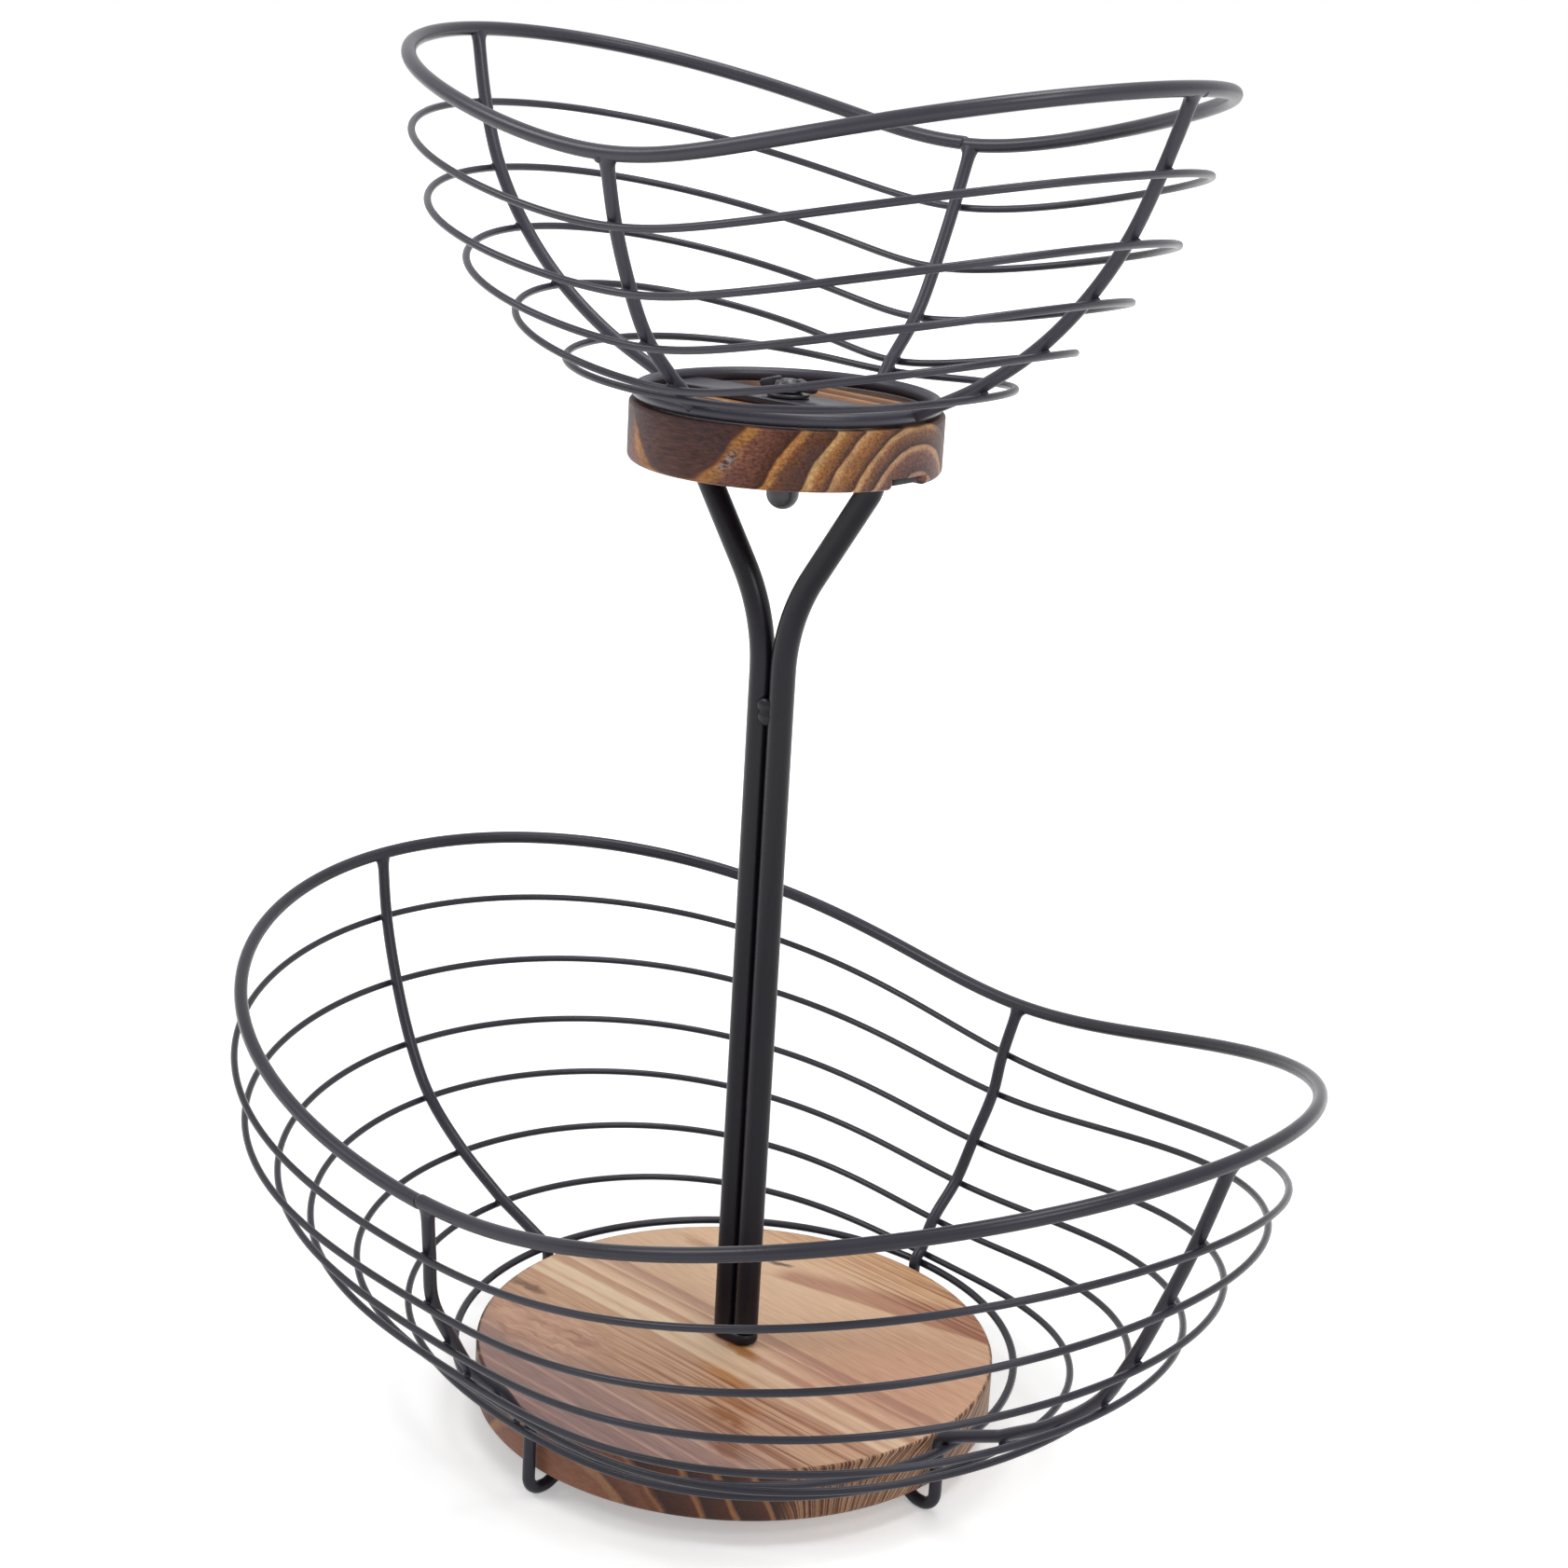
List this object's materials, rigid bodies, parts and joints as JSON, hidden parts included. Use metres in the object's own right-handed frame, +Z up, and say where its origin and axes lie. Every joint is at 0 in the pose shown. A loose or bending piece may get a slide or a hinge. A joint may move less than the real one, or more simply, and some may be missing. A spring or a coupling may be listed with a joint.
{
  "type": "two-tier wire fruit basket",
  "caption": "Two oval wire bowls, a small one over a large one, each round a wooden board, on a forked pole whose top is clamped by a wing nut.",
  "frame": {"origin": "on the floor under the pole's axis, which is the middle of both boards and of the object's outline", "axes": "+Z up along the pole; +X along the long axis of the lower bowl, towards the end that is nearer in the picture; +Y across the lower bowl"},
  "size_m": [0.3854, 0.267, 0.4386],
  "materials": {
    "black_coat": "satin black powder coat on steel wire, rod and strip",
    "torched_pine": "flame-darkened pine, pale pinkish face with brown grain streaks, dark burnt edge",
    "burnt_pine": "flame-darkened pine, dark reddish brown edge with orange grain lines",
    "plated_steel": "dull zinc plating",
    "coated_nut": "dark satin coating"
  },
  "bodies": {
    "basket": {"lower_rim": "black_coat", "lower_ring_1": "black_coat", "lower_ring_2": "black_coat", "lower_ring_3": "black_coat", "lower_ring_4": "black_coat", "lower_ring_5": "black_coat", "lower_ring_6": "black_coat", "lower_base_ring": "black_coat", "lower_rib_right": "black_coat", "lower_rib_back": "black_coat", "lower_rib_left": "black_coat", "lower_rib_front": "black_coat", "hub_plate": "black_coat", "pole_foot": "black_coat", "pole_rod_left": "black_coat", "pole_rod_right": "black_coat", "cross_bar": "black_coat", "dome_nut": "black_coat", "upper_rim": "black_coat", "upper_ring_1": "black_coat", "upper_ring_2": "black_coat", "upper_ring_3": "black_coat", "upper_ring_4": "black_coat", "upper_ring_5": "black_coat", "upper_base_ring": "black_coat", "upper_rib_right": "black_coat", "upper_rib_back": "black_coat", "upper_rib_left": "black_coat", "upper_rib_front": "black_coat", "upper_strap": "black_coat", "lower_board": "torched_pine", "upper_board": "burnt_pine", "base_bolt": "plated_steel", "tie_stud": "plated_steel", "strap_washer": "coated_nut"},
    "wing_nut": {"wing_nut": "coated_nut"}
  },
  "joints": [
    {"name": "wing_nut_turn", "type": "hinge", "parent": "basket", "child": "wing_nut", "pos_m": [0, 0, 0.339], "axis": [0, 0, 1], "range_deg": [0, 1710]}
  ]
}
